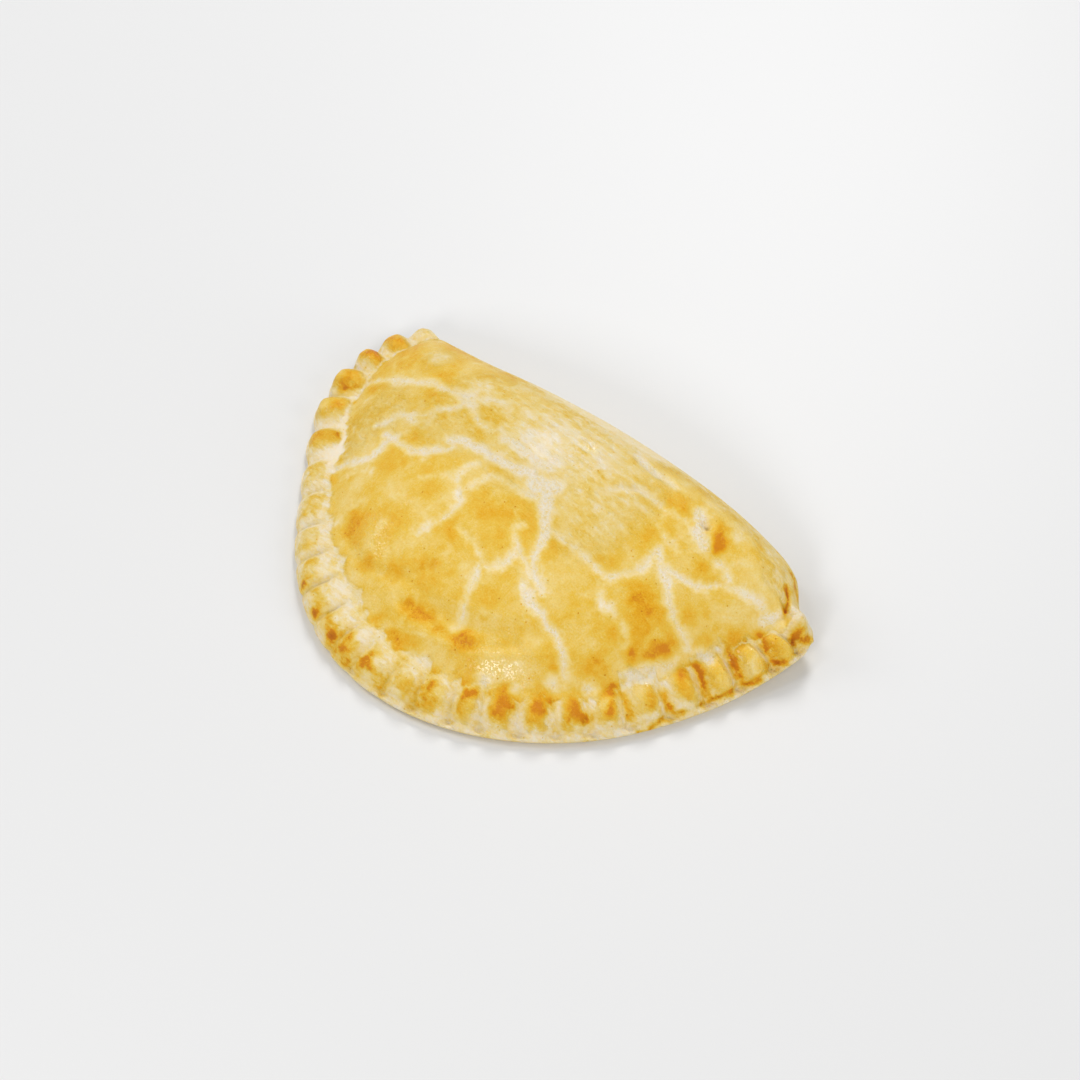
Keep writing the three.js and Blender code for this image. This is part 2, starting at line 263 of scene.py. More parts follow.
# Tears in the egg wash, by how bare they are
CRACKS = [Stroke(*row) for row in (
    (1, 2.6, [(538, 483), (552, 487)]), (1, 1.8, [(546, 490), (545, 511)]),
    (1, 1.2, [(545, 511), (543, 530), (541, 542)]),
    (0.9, 1.1, [(505, 440), (520, 447), (535, 458), (548, 470)]),
    (1, 0.5, [(544, 538), (535, 553), (533, 570), (538, 583), (542, 590)]),
    (1, 0.5, [(524, 587), (530, 600), (538, 610), (545, 622), (557, 636), (563, 655), (567, 677)]),
    (1, 1, [(450, 440), (465, 439), (475, 445), (487, 455), (500, 462), (517, 468), (533, 473)]),
    (1, 0.7, [(338, 467), (352, 462), (370, 458), (383, 444), (395, 437)]),
    (1, 0.7, [(385, 436), (402, 444), (415, 450), (430, 452), (445, 449), (453, 445)]),
    (0.7, 0.4, [(423, 458), (442, 447)]),
    (0.8, 0.8, [(366, 383), (391, 379), (420, 380), (437, 383), (453, 392), (465, 395), (505, 402)]),
    (0.9, 0.4, [(376, 426), (398, 414), (420, 415), (435, 412), (453, 406), (463, 403), (470, 397)]),
    (0.8, 0.5, [(470, 403), (475, 413), (478, 420), (492, 428), (503, 428)]),
    (0.9, 0.3, [(411, 419), (418, 424), (425, 424), (432, 416)]),
    (0.9, 0.4, [(475, 462), (465, 468), (458, 475), (459, 503), (453, 510), (437, 520), (417, 531)]),
    (0.6, 0.4, [(420, 477), (430, 475), (445, 475), (455, 478)]),
    (0.8, 0.4, [(465, 487), (478, 482), (492, 477), (503, 480), (513, 488), (523, 495), (535, 498)]),
    (0.7, 0.9, [(505, 433), (520, 437), (533, 443), (547, 453), (560, 460)]),
    (0.7, 0.4, [(457, 528), (468, 538), (473, 543), (480, 552), (481, 563)]),
    (0.9, 0.4, [(481, 563), (473, 578), (467, 593), (466, 612), (457, 628)]),
    (0.8, 0.4, [(481, 563), (492, 565), (503, 562), (512, 555), (518, 552)]),
    (0.8, 0.4, [(520, 522), (512, 528), (512, 537), (518, 548), (528, 560), (533, 570)]),
    (0.6, 0.3, [(337, 523), (348, 510), (363, 498)]), (0.5, 0.3, [(340, 480), (352, 474), (370, 470)]),
    (0.8, 0.6, [(554, 531), (571, 546), (583, 557), (600, 574), (611, 579)]),
    (0.9, 0.3, [(611, 579), (629, 576), (643, 566), (653, 553), (659, 549)]),
    (1, 0.5, [(661, 554), (666, 574), (666, 591), (670, 606), (674, 617), (683, 631), (691, 649)]),
    (0.9, 0.5, [(669, 566), (683, 577), (700, 586), (723, 589), (740, 591), (757, 600), (766, 611)]),
    (0.8, 0.4, [(603, 490), (628, 488), (643, 493), (660, 503), (670, 512), (691, 520)]),
    (0.7, 0.3, [(654, 523), (666, 540), (677, 549)]),
    (1, 0.5, [(637, 455), (653, 469), (668, 479), (678, 489)]),
    (0.9, 0.6, [(706, 541), (717, 557), (726, 566), (729, 580)]),
    (0.6, 0.5, [(600, 586), (601, 603), (614, 614), (623, 631), (626, 646)]),
    (0.6, 0.4, [(640, 505), (652, 520), (660, 514)]),
)]
CRACK_REACH = 2.2 * MM
CRACK_SINK = 0.3 * MM
BARE_TEAR = 1.15

# Random shifts: the size of a lattice, its seed and the most that it shifts
CRACK_WANDER = [
    [(5 * MM, 1, 0.8 * MM), (2 * MM, 3, 0.4 * MM)],
    [(5 * MM, 2, 0.8 * MM), (2 * MM, 4, 0.4 * MM)],
]

# Furrows of the crust, by their height in millimetres
CREASES = [Stroke(*row) for row in (
    (-0.7, 2.2, [(347, 528), (351, 548), (363, 566), (385, 575), (408, 577), (428, 567)]),
    (-1.2, 2.4, [(405, 604), (422, 615), (440, 628), (466, 641), (492, 646), (515, 646)]),
    (-0.5, 0.8, [(516, 461), (527, 466), (535, 469)]),
    (-0.5, 0.8, [(530, 442), (547, 455), (562, 461), (578, 462), (595, 475), (617, 485), (635, 488)]),
    (-0.4, 0.8, [(635, 488), (648, 495), (667, 508)]), (-0.4, 0.9, [(638, 459), (653, 471), (668, 481)]),
    (-0.8, 1.2, [(787, 577), (788, 592), (786, 609)]), (-0.9, 1.1, [(794, 570), (797, 582), (799, 596)]),
    (-1.6, 1.3, [(785, 604), (785, 622), (793, 643)]),
)]


class Spot(NamedTuple):
    """A soft round patch: the pixel at its middle, its radius in millimetres and its strength."""

    across: float
    down: float
    radius: float
    amount: float


# Raised and sunken places, by their height in millimetres: the left bulge, the steam hole and the end lobe
SWELLINGS = [Spot(*row) for row in (
    (382, 543, 12, 0.9), (706.5, 523.5, 1.4, -2.6), (702, 518, 3.5, -0.5), (799, 621, 5, 3.4),
)]

# Where the wash dried wet and shiny
GLOSS_SPOTS = [Spot(*row) for row in (
    (374, 530, 6, 1.1), (368, 546, 5, 1), (381, 561, 4, 0.9), (410, 497, 4, 0.6), (404, 572, 3, 0.5),
    (440, 565, 5, 0.4), (455, 653, 5, 0.7), (478, 661, 7, 0.8), (505, 665, 7, 0.8), (500, 644, 5, 0.7),
    (525, 672, 5, 0.7), (440, 605, 4, 0.5), (560, 470, 8, 0.35), (585, 438, 9, 0.3), (612, 458, 9, 0.15),
    (540, 460, 6, 0.3), (560, 490, 6, 0.5), (640, 505, 9, 0.5), (723, 545, 4, 0.6), (668, 492, 5, 0.6),
    (750, 560, 8, 0.4), (745, 655, 5, 1), (775, 642, 5, 0.9), (715, 672, 5, 0.8), (650, 690, 5, 0.7),
    (330, 405, 4, 0.6), (368, 355, 4, 0.6), (315, 438, 4, 0.5), (304, 466, 4, 0.4), (395, 340, 4, 0.5),
)]

# Where the wash baked darker, and painted shade along the creases of the dome's foot, the left bulge and
# the right end
BROWN_SPOTS = [Spot(*row) for row in (
    (424, 334, 3, 0.45), (412, 351, 6, 0.35), (405, 365, 4, 0.5), (443, 372, 5, 0.6), (378, 384, 4, 0.35),
    (354, 403, 1.2, 0.7), (340, 434, 1.5, 0.9), (428, 411, 4, 0.35), (421, 434, 5, 0.5),
    (395, 466, 8, 0.2), (361, 511, 5, 0.6), (351, 532, 3, 0.8), (354, 544, 2.5, 0.7), (364, 565, 3, 0.7),
    (397, 575, 4, 0.6), (423, 565, 4, 0.4), (454, 571, 2, 0.5), (492, 503, 8, 0.4), (457, 518, 4, 0.3),
    (411, 607, 4, 0.7), (436, 623, 5, 0.45), (464, 637, 5, 0.7), (362, 612, 2.5, 0.6),
    (357, 591, 2.5, 0.5), (376, 619, 2, 0.5), (397, 639, 3, 0.8), (408, 647, 2.5, 0.6), (402, 660, 2, 1),
    (431, 679, 3, 1), (420, 690, 2.6, 1.2), (466, 695, 3.5, 0.5), (483, 695, 2, 0.8), (498, 707, 3, 0.4),
    (498, 714, 2.2, 0.5), (514, 705, 2, 1), (538, 707, 4, 0.5), (553, 703, 2, 0.6), (553, 665, 3, 0.9),
    (640, 604, 6, 0.7), (688, 611, 4, 0.35), (597, 665, 4, 0.6), (630, 652, 2, 0.8), (664, 656, 3, 1.2),
    (650, 656, 2.4, 0.7), (638, 655, 3, 0.9), (630, 665, 2, 0.7), (671, 645, 2.5, 0.6),
    (703, 639, 2, 0.6), (736, 637, 3, 0.8), (610, 635, 4, 0.3), (716, 553, 2.5, 0.5),
    (724, 531, 2.5, 0.6), (721, 541, 3, 0.9), (717, 550, 2.5, 0.7), (736, 549, 2, 0.6),
    (682, 507, 5, 0.25), (667, 483, 3, 0.2), (686, 498, 4, 0.25), (699, 565, 3, 0.6), (303, 585, 2, 2.6),
    (314, 613, 2, 2.6), (332, 636, 2.2, 2.2), (346, 663, 2, 2), (345, 390, 2.2, 1.4),
    (341, 404, 1.6, 0.7), (587, 719, 1.8, 2.6), (573, 713, 2.4, 0.9), (803, 634, 2.5, 0.8),
    (796, 638, 2.2, 1),
)]

# Browned flanks of the crimps, the line under them, and partly painted shade in their grooves and the right
# end's creases
BROWN_STREAKS = [Stroke(*row) for row in (
    (0.35, 2, [(407, 603), (420, 612), (434, 622), (450, 631), (470, 641)]),
    (0.7, 2.2, [(384, 338), (402, 338)]), (0.9, 1.8, [(361, 356), (380, 350)]),
    (1.1, 1.6, [(338, 391), (354, 386)]), (0.5, 2.2, [(340, 380), (358, 374)]),
    (0.8, 2, [(322, 411), (341, 402)]), (0.35, 2, [(307, 442), (321, 434)]),
    (0.5, 2, [(300, 469), (316, 463)]), (0.5, 1, [(292, 522), (312, 512)]),
    (0.6, 1, [(297, 551), (314, 543)]), (0.6, 1.4, [(320, 627), (328, 613)]),
    (0.8, 1.8, [(335, 656), (342, 645), (351, 633)]), (1.1, 2, [(357, 673), (364, 662), (373, 651)]),
    (0.8, 1.8, [(381, 688), (388, 678), (395, 669)]), (0.7, 2.2, [(412, 709), (424, 700)]),
    (0.8, 2.4, [(461, 710), (467, 691)]), (0.6, 2.2, [(499, 711), (504, 689)]),
    (0.6, 2.4, [(534, 715), (538, 698)]), (0.5, 2.4, [(573, 712), (575, 700)]),
    (1.6, 2, [(608, 709), (611, 687)]), (1.8, 1.8, [(629, 715), (622, 699)]),
    (0.8, 1.4, [(650, 704), (653, 696)]), (2, 1.6, [(671, 708), (665, 695)]),
    (1, 1.8, [(685, 693), (682, 673)]), (1.9, 1.6, [(708, 695), (701, 681), (697, 668)]),
    (1.8, 1.4, [(741, 679), (733, 664), (729, 651)]), (1.8, 1.4, [(776, 662), (765, 650), (760, 636)]),
    (1.9, 1, [(638, 731), (660, 721), (680, 712)]), (1.9, 1, [(702, 704), (727, 695)]),
    (1.9, 1, [(732, 690), (748, 686), (760, 681)]), (1.8, 1, [(768, 668), (786, 663)]),
    (2.6, 0.9, [(786, 588), (788, 600), (785, 612)]), (1.8, 1.1, [(794, 573), (797, 582), (800, 592)]),
    (1.3, 0.8, [(785, 612), (786, 624), (792, 640)]), (1.5, 1.8, [(795, 641), (809, 644)]),
)]

# Where no wash took; the white patches on the crest's top are partly painted highlight
BARE_AND_HIGHLIGHT_SPOTS = [Spot(*row) for row in (
    (611, 462, 4, 0.55), (600, 452, 4, 0.5), (562, 424, 4, 0.6), (701, 521, 3, 0.9), (699, 510, 2.4, 0.9),
    (697, 533, 3, 0.9), (703, 545, 2.8, 0.85), (716, 561, 3.5, 0.7), (735, 537, 2.2, 0.7),
    (440, 357, 4, 0.6), (630, 672, 3, 0.75), (645, 669, 3, 0.75), (660, 668, 3, 0.75),
    (672, 664, 2.5, 0.75), (700, 655, 4, 0.9), (712, 660, 2, 0.8), (762, 622, 3, 0.8), (773, 619, 3, 0.8),
    (798, 617, 4.5, 1), (485, 681, 3, 0.9), (515, 689, 2, 0.9), (553, 683, 3, 0.9), (587, 690, 3, 0.9),
    (422, 661, 3, 1),
)]

# Where the wash is thin: along the crest and in the middle; on the crest's top this pale is partly painted
# highlight
PALE_AND_HIGHLIGHT_SPOTS = [Spot(*row) for row in (
    (385, 408, 14, 0.2), (445, 420, 12, 0.2), (350, 440, 8, 0.25), (560, 425, 24, 0.45),
    (597, 464, 9, 0.25), (540, 450, 9, 0.3), (480, 390, 9, 0.35), (440, 356, 6, 0.3), (637, 490, 8, 0.3),
    (650, 447, 9, 0.3), (590, 522, 12, 0.35),
)]


def length(name, description, default):
    return FloatProperty(name=name, description=description, default=default, unit="LENGTH")


def colour(name, description, *screen):
    return FloatVectorProperty(name=name, description=description, default=srgb(*screen), subtype="COLOR")


class PastyForm(bpy.types.PropertyGroup):
    """Main sizes of the pasty."""

    half_length: length("Half Length", "Half the line between the tips", 86 * MM)
    rim_reach: length("Rim Reach", "From that line to the front of the rim", 105 * MM)
    height: length("Height", "Height of the dome before the fold rounds it", 38 * MM)
    fold_bow: length("Fold Bow", "How far the fold bows out", 6.8 * MM)
    rim_width: length("Rim Width", "Width of the pressed rim", 13 * MM)
    rim_thickness: length("Rim Thickness", "Thickness of the pressed rim", 8.5 * MM)
    tip_lift: length("Tip Lift", "How far the tips curl up", 4.5 * MM)


class PastyFinish(bpy.types.PropertyGroup):
    """Colours of the baked crust."""

    dough: colour("Dough", "Bare baked pastry", 246, 234, 212)
    cream: colour("Cream", "Trace of egg wash", 243, 220, 160)
    pale_gold: colour("Pale Gold", "Thin egg wash", 240, 209, 120)
    gold: colour("Gold", "Full egg wash", 235, 193, 70)
    amber: colour("Amber", "Thick egg wash", 232, 172, 24)
    # Brown and scorch also stand for painted shade in the creases and grooves
    brown: colour("Brown", "Well baked egg wash", 217, 136, 6)
    scorch_and_shade: colour("Scorch", "Darkest edges", 172, 82, 10)


class PastyStage(bpy.types.PropertyGroup):
    """The floor and the camera."""

    floor: FloatVectorProperty(
        name="Floor", description="Colour of the floor", default=(0.78, 0.78, 0.78), subtype="COLOR"
    )
    azimuth: FloatProperty(
        name="Azimuth", description="Turn of the camera", default=math.radians(46.8), subtype="ANGLE"
    )
    elevation: FloatProperty(
        name="Elevation", description="Tilt of the camera", default=math.radians(50), subtype="ANGLE"
    )
    distance: length("Distance", "From the camera to its aim", 800 * MM)
    lens: FloatProperty(
        name="Lens", description="Focal length in millimetres", default=90, subtype="DISTANCE_CAMERA"
    )


def swell(angle):
    """Reach of the rim as a multiple of the plain ellipse's: 1 and the bumps, which vanish at the tips."""
    bumps = sum(bump(angle) for bump in SWELLS)
    return 1 + bumps * (1 - np.exp(-TIP_SHARPNESS * np.maximum(0, np.sin(angle))))


def rim_point(form, angle):
    """A half ellipse times its swell, from the left tip at angle 0 to the right tip at pi."""
    reach = swell(angle)
    return -form.half_length * reach * np.cos(angle), -form.rim_reach * reach * np.sin(angle)


def rim_width(form, angle):
    return form.rim_width - sum(loss(angle) for loss in RIM_NARROWINGS)


def fold_edge(form, x):
    """The fold's bow: most a little to the right, none at the tips, with a notch beside the right one."""
    along = np.clip(x / form.half_length, -1, 1)
    bow = form.fold_bow * (1 - np.abs(along) ** FOLD_POWER) * (1 + FOLD_LEAN * along)
    return bow * (1 - FOLD_NOTCH(along))


def tip_distance(form, x, y):
    return np.minimum(np.hypot(x + form.half_length, y), np.hypot(x - form.half_length, y))


def tip_lift(form, x, y):
    return form.tip_lift * (1 - smooth(tip_distance(form, x, y) / TIP_LIFT_REACH))


def ellipse_angle(form, x, y):
    """Angle of a point about the middle of the line between the tips, on the plain ellipse."""
    angle = np.arctan2(-y / form.rim_reach, -x / form.half_length)
    return np.where(angle < -math.pi / 2, angle + 2 * math.pi, angle)


def fullness(form, x, y):
    """Distance in from the rim's edge, and thickness before the edges are rounded.

    The share of the way out to the rim gives a climb from 1 at the dome's foot to 0 at the middle. The dome
    is a root of one less a power of the climb, eased at its foot, and it stands on the sloping rim.
    """
    angle = ellipse_angle(form, x, y)
    reach = swell(angle)
    share = np.hypot(x / form.half_length, y / form.rim_reach) / reach
    radius = np.hypot(form.half_length * np.cos(angle), form.rim_reach * np.sin(angle)) * reach
    inset = radius * (1 - share)
    width = rim_width(form, angle)
    climb = np.clip(share / (1 - width / radius), 0, 1)
    root = mix(DOME_ROOT_SIDES, DOME_ROOT_FRONT, np.sin(angle) ** 2)
    bare = 1 - climb**DOME_POWER
    dome = (bare * bare * (1 + DOME_FOOT) / (bare + DOME_FOOT)) ** (1 / root)
    slope = RIM_SLOPE * np.clip(1 - inset / width, 0, 1)
    return inset, form.rim_thickness - slope + (form.height - form.rim_thickness) * dome


class Stations(NamedTuple):
    """Points round the outline and the lines in from them, as arrays with an axis for the rings."""

    edge: np.ndarray
    rim: np.ndarray
    along: np.ndarray
    crimps: np.ndarray
    width: np.ndarray
    lip: np.ndarray
    straight_in: np.ndarray
    to_middle: np.ndarray
    reach: np.ndarray
    scallop: np.ndarray


def measure_rim(form):
    """Angle, distance along the rim and crimps passed, in fine steps from the left tip to the right one."""
    angle = np.linspace(0, math.pi, RIM_SAMPLES)
    x, y = rim_point(form, angle)
    step = np.hypot(np.diff(x), np.diff(y))
    along = np.append(0, np.cumsum(step))
    marks = [0, *(groove * MM for groove in GROOVES), along[-1]]
    numbers = [-FIRST_PART, *range(len(GROOVES)), len(GROOVES) - 1 + LAST_PART]
    return angle, along, np.interp(along, marks, numbers)


def crimp_raise(crimps, along):
    """How far a crimp has risen out of its grooves, from 0 to 1: eased up from one and down to the next,
    and filled out by a power below 1."""
    phase = crimps - np.floor(crimps)
    rise = smooth(phase / CRIMP_RISE(along))
    fall = smooth((1 - phase) / CRIMP_FALL(along))
    return (rise * fall) ** CRIMP_FILL


def crimp_back(crimps, along):
    """Height of a crimp's back against its mean, as a share of its depth."""
    return crimp_raise(crimps, along) - CRIMP_MEAN(along)


def lip_share(along):
    """How far the lower layer's lip has come out along the rim, from 0 to 1."""
    return smooth((along - LIP_START) / LIP_FADE)


def lip_width(along):
    return mix(LIP_LEAST, LIP_MOST, lip_share(along))


def toward_middle(edge):
    """Unit vectors from points of the outline to the middle, and how far the middle is."""
    way = np.array(MIDDLE) - edge
    reach = np.hypot(*way.T)
    return way / reach[:, None], reach


def square_to_rim(form, angle, edge, to_middle):
    """Straight in from the rim, square to its edge, turning to the middle close to the tips."""
    ahead = np.stack(rim_point(form, angle + ANGLE_STEP), axis=1)
    behind = np.stack(rim_point(form, angle - ANGLE_STEP), axis=1)
    along = (ahead - behind) / np.linalg.norm(ahead - behind, axis=1)[:, None]
    square = np.stack([-along[:, 1], along[:, 0]], axis=1)
    turn = smooth(tip_distance(form, *edge.T) / TIP_TURN)
    way = mix(to_middle, square, turn[:, None])
    return way / np.linalg.norm(way, axis=1)[:, None]


def make_stations(form):
    """Even steps along the rim from the left tip to the right one, then back along the fold."""
    angles, alongs, crimp_counts = measure_rim(form)
    along = alongs[-1] * (np.arange(RIM_STATIONS) + 0.5) / RIM_STATIONS
    angle = np.interp(along, alongs, angles)
    crimps = np.interp(along, alongs, crimp_counts)
    rim_edge = np.stack(rim_point(form, angle), axis=1)
    part = np.linspace(0, 1, FOLD_STATIONS + 1)
    fold_x = form.half_length * mix(1 - 2 * part, np.cos(math.pi * part), FOLD_CLOSING)
    fold_points = np.stack([fold_x, fold_edge(form, fold_x)], axis=1)
    right_half = fold_x > 0

    edge = np.vstack([rim_edge, fold_points])
    to_middle, reach = toward_middle(edge)
    straight_in = to_middle.copy()
    straight_in[:RIM_STATIONS] = square_to_rim(form, angle, rim_edge, to_middle[:RIM_STATIONS])
    end_fade = smooth(tip_distance(form, *rim_edge.T) / EDGE_ROUND)
    scallop = end_fade * CRIMP_SCALLOP(along) * crimp_back(crimps, along)
    scallop = np.append(scallop, np.zeros(FOLD_STATIONS + 1))
    rim = np.append(np.ones(RIM_STATIONS), 1 - smooth(tip_distance(form, *fold_points.T) / TIP_BLEND))
    along = np.append(along, np.where(right_half, alongs[-1], 0))
    crimps = np.append(crimps, np.where(right_half, crimp_counts[-1], crimp_counts[0]))
    width = rim_width(form, ellipse_angle(form, *edge.T))
    lip = mix(LIP_LEAST, lip_width(along), rim)
    columns = (edge, rim, along, crimps, width, lip, straight_in, to_middle, reach, scallop)
    return Stations(*(values[:, None] for values in columns))


def quarter_turn(part):
    """Steps that start close together: one less the cosine of a part of a quarter turn."""
    return 1 - np.cos(math.pi / 2 * part)


def ring_insets(stations):
    """How far in from the edge each ring lies: over the lip, close at the crimps' round ends, even on the
    rim, then up the dome."""
    shelf = stations.lip * np.arange(LIP_RINGS) / LIP_RINGS
    edge = stations.lip + EDGE_ROUND * quarter_turn(np.arange(EDGE_RINGS) / EDGE_RINGS)
    rim = mix(stations.lip + EDGE_ROUND, stations.width, np.arange(RIM_RINGS) / RIM_RINGS)
    part = np.arange(DOME_RINGS) / DOME_RINGS
    dome = mix(stations.width, stations.reach, mix(part, quarter_turn(part), DOME_CLOSING))
    return np.hstack([shelf, edge, rim, dome])


def plan(stations, inset, on_top):
    """Plan points at distances in from the edge: straight in across the rim, then bending to the middle.

    Where the lower layer has a lip, only the upper layer, from the lip inwards, is scalloped.
    """
    bend = smooth((inset - stations.width) / BEND_LENGTH)[..., None]
    way = mix(stations.straight_in, stations.to_middle, bend)
    over_lip = mix(1, on_top * smooth(inset / stations.lip), lip_share(stations.along))
    scallop = stations.scallop * over_lip * (1 - smooth(inset / stations.width))
    points = stations.edge + way * (inset - scallop)[..., None]
    return points[..., 0], points[..., 1]


def round_tip(form, x, y):
    """Plan points with the right tip's corner drawn in along its diagonal, less the further they lie."""
    draw = TIP_ROUND(np.hypot(x - form.half_length, y)) * math.sqrt(0.5)
    return x - draw, y - draw


def crimp_relief(stations, inset):
    """Height of the crimps over the plain rim: backs and overlaps that fade in and out across the rim."""
    along, crimps = stations.along, stations.crimps
    across = inset / stations.width
    fade = CRIMP_FADE(along)
    fade_in = smooth(across / CRIMP_FULL(along))
    fade_out = 1 - smooth((across - fade) / (CRIMP_END(along) - fade))
    back = CRIMP_DEPTH(along) * crimp_back(crimps, along)
    overlap = CRIMP_OVERLAP(along) * (crimps - np.floor(crimps) - 0.5)
    return fade_in * fade_out * (back + overlap)


def top_points(form, stations, inset):
    """The top: its thickness, rounded down to the waist at the fold and the edge, and the relief on it."""
    x, y = plan(stations, inset, True)
    rim_inset, height = fullness(form, x, y)
    fold_round = quarter_round((fold_edge(form, x) - y) / (FOLD_ROUND * height))
    edge_round = mix(1, quarter_round((inset - stations.lip) / EDGE_ROUND), stations.rim)
    foot = FOOT_ALONG(stations.along) * (FOOT_ROLL(rim_inset) + FOOT_CREASE(rim_inset))
    z = height * mix(WAIST, 1, fold_round * edge_round) + tip_lift(form, x, y)
    z = z + stations.rim * (foot + crimp_relief(stations, inset))
    return np.stack([*round_tip(form, x, y), z], axis=2)


def under_points(form, stations, edge_points):
    """The rounded foot under the edge, a quarter ellipse, and the flat base in to beside its middle."""
    x, y, z = edge_points.T[..., None]
    edge_height = z - tip_lift(form, x, y)
    foot_round = mix(FOLD_FOOT_ROUND, RIM_FOOT_ROUND, stations.rim)
    turn = math.pi / 2 * np.arange(1, FOOT_RINGS + 1) / FOOT_RINGS
    base_part = np.arange(1, BASE_RINGS + 1) / (BASE_RINGS + 1)
    foot_inset = foot_round * (1 - np.cos(turn))
    base_inset = mix(foot_round, stations.reach, base_part)
    x, y = plan(stations, np.hstack([foot_inset, base_inset]), False)
    z = np.hstack([edge_height * (1 - np.sin(turn)), np.zeros_like(base_inset)])
    return np.stack([*round_tip(form, x, y), z + tip_lift(form, x, y)], axis=2)


def grid_faces(stations, rings):
    """Quads between stations side by side, closed round, and fans to the middles of top and base."""
    here = np.arange(stations)[:, None] * rings
    after = (np.arange(1, stations + 1) % stations)[:, None] * rings
    ring = np.arange(rings - 1)
    quads = np.stack([here + ring, here + ring + 1, after + ring + 1, after + ring], axis=2).reshape(-1, 4)
    top_middle = np.full((stations, 1), stations * rings)
    top_fan = np.hstack([top_middle, here, after])
    base_fan = np.hstack([here + rings - 1, top_middle + 1, after + rings - 1])
    return [*quads.tolist(), *top_fan.tolist(), *base_fan.tolist()]


def random_field(x, y, size, seed):
    """Smooth random heights from -1 to 1: a lattice of seeded numbers, a size apart, with eased steps."""
    lattice = np.random.default_rng(seed).uniform(-1, 1, (LATTICE, LATTICE))
    column, row = x / size, y / size
    left, low = np.floor(column).astype(int), np.floor(row).astype(int)
    ease_x, ease_y = smooth(column - left), smooth(row - low)

    def corner(right, up):
        return lattice[(left + right) % LATTICE, (low + up) % LATTICE]

    near = mix(corner(0, 0), corner(1, 0), ease_x)
    far = mix(corner(0, 1), corner(1, 1), ease_x)
    return mix(near, far, ease_y)


def ripples(x, y, rows):
    """Sum of random heights: each row is the size of a lattice, its seed and the most that it reaches."""
    return sum(reach * random_field(x, y, size, seed) for size, seed, reach in rows)


def on_picture(points, stage):
    """Pixels across and down at which the camera sees points, and their distances from it."""
    back, right, up = (np.array(axis) for axis in view_axes(stage))
    away = points - np.array(AIM) - back * stage.distance
    depth = -away @ back
    focus = stage.lens * MM / SENSOR * PICTURE_SIDE
    across = PICTURE_SIDE / 2 + focus * (away @ right) / depth
    down = PICTURE_SIDE / 2 - focus * (away @ up) / depth
    return across, down, depth


def carried(pixels, points, stage):
    """The points of the crust that the camera sees at pixels: of those within reach, the nearest to it."""
    across, down, depth = on_picture(points, stage)
    wanted = np.array(pixels, float)
    off = np.hypot(across - wanted[:, :1], down - wanted[:, 1:])
    cost = depth + off * MM + (off > CARRY_REACH)
    return points[cost.argmin(axis=1)]


def route_gap(points, route):
    """Distance from points to a route: to the nearest of its straight runs."""
    gap = np.full(len(points), np.inf)
    for start, end in zip(route[:-1], route[1:]):
        run = end - start
        share = np.clip((points - start) @ run / (run @ run), 0, 1)
        gap = np.minimum(gap, np.linalg.norm(points - start - share[:, None] * run, axis=1))
    return gap


def wandering(points):
    """Points shifted sideways by random heights, so that what is measured from them wanders."""
    x, y = points[:, 0], points[:, 1]
    shifts = [ripples(x, y, rows) for rows in CRACK_WANDER]
    return points + np.stack([*shifts, np.zeros(len(points))], axis=1)


def stroke_gaps(strokes, top, stage):
    """Each stroke with the distances to its route from the points of the crust, which wander."""
    shifted = wandering(top)
    for stroke in strokes:
        yield stroke, route_gap(shifted, carried(stroke.route, top, stage))


def tear_field(top, stage):
    """How bare the cracks leave the crust: the most of their bareness, falling evenly from their sides."""
    tear = np.zeros(len(top))
    for crack, gap in stroke_gaps(CRACKS, top, stage):
        tear = np.maximum(tear, crack.amount * (1 - (gap - crack.half_width * MM) / CRACK_REACH))
    return tear


def streak_field(strokes, top, stage):
    """Sum of soft strokes: each a bell of the distance to its route."""
    gaps = stroke_gaps(strokes, top, stage)
    return sum(streak.amount * bell(gap, 0, streak.half_width * MM) for streak, gap in gaps)


def spot_field(spots, top, stage):
    """Sum of soft round patches: each a bell of the distance to the point that its pixel is carried to."""
    middles = carried([(spot.across, spot.down) for spot in spots], top, stage)
    gaps = (np.linalg.norm(top - middle, axis=1) for middle in middles)
    return sum(spot.amount * bell(gap, 0, spot.radius * MM) for spot, gap in zip(spots, gaps))


def rim_wash(stations, crimp, across):
    """Egg wash on the crimps' backs, up to the bare band behind each, and beyond that band on the dome."""
    raised = crimp_raise(stations.crimps, stations.along)
    pad = crimp.gold * raised * smooth((across - PAD_START(stations.along)) / PAD_FADE)
    pad = pad * (1 - smooth((across - crimp.bare_from) / WASH_FADE))
    on_dome = smooth((across - crimp.bare_to) / WASH_FADE)
    return np.maximum(np.maximum(pad, RIM_WASH), on_dome)


def rim_bake_and_shade(stations, crimp, across, inset):
    """Browning as bells: round each crimp's own browned side, near the crimps' ends and along the lip."""
    along = stations.along
    off_side = np.abs(stations.crimps - np.floor(stations.crimps) - crimp.side)
    off_side = np.minimum(off_side, 1 - off_side)
    # At the last crimps this side lies in the groove, where the brown is partly painted shade
    side = crimp.brown * bell(off_side, 0, crimp.spread) * BROWN_ACROSS(across)
    ends = EDGE_BROWN(along) * EDGE_BROWN_ACROSS(across)
    lip = LIP_BROWN(along) * (1 + ripples(along, along, LIP_RIPPLE))
    return side + ends + lip * bell(inset, lip_width(along), LIP_LINE)


